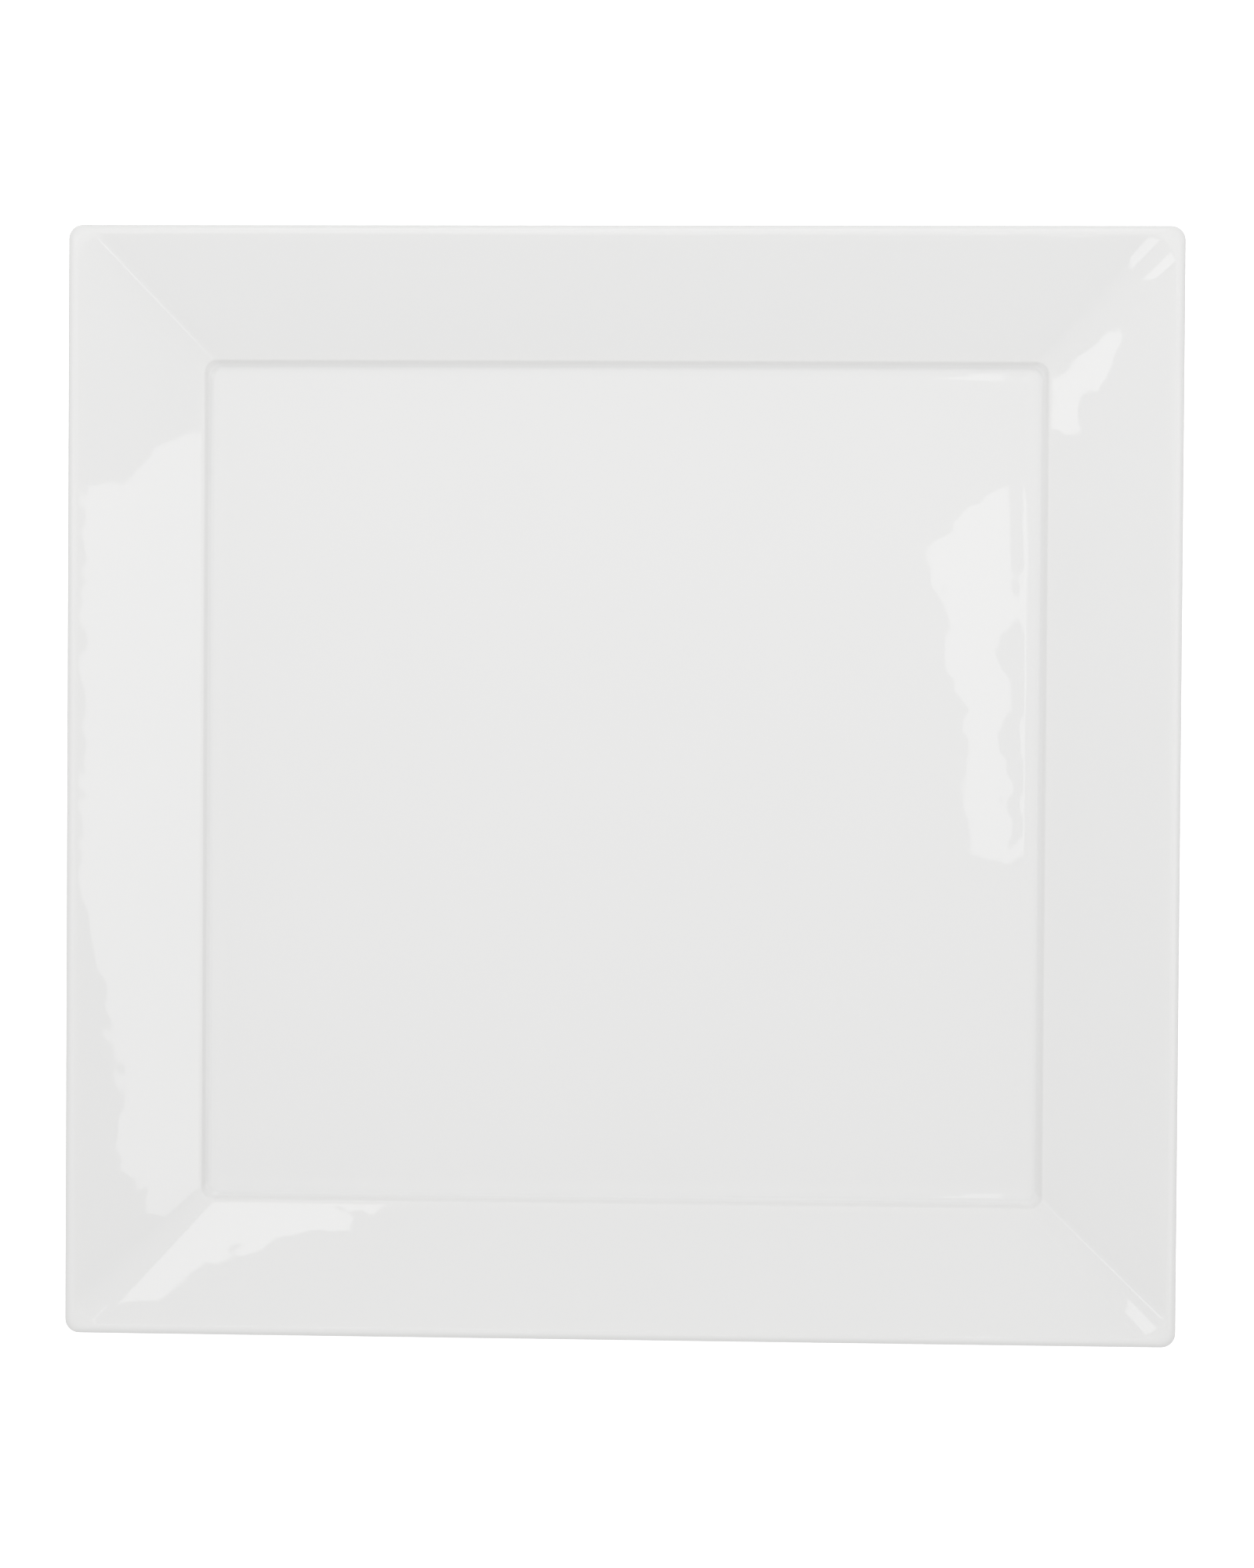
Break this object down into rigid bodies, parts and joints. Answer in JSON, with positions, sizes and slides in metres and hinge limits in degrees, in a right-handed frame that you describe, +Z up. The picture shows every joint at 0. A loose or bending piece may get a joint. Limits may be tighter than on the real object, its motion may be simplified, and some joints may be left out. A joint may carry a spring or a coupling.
{
  "type": "square serving dish",
  "caption": "Shallow square porcelain serving dish: flat well, stepped inner edge, sloped rims mitred at the corners, rounded lip, and a foot ring to stand on.",
  "frame": {"origin": "on the table, under the middle of the dish", "axes": "+Z up through the middle of the well, X and Y square to the sides"},
  "size_m": [0.3, 0.3, 0.025],
  "materials": {
    "porcelain": "unglazed fired porcelain, matt, seen only on the standing face of the foot ring",
    "glaze": "clear glossy glaze over white porcelain, smooth with faint waviness"
  },
  "bodies": {
    "root": {"porcelain_body": "porcelain", "upper_glaze": "glaze", "base_glaze": "glaze"}
  },
  "joints": []
}
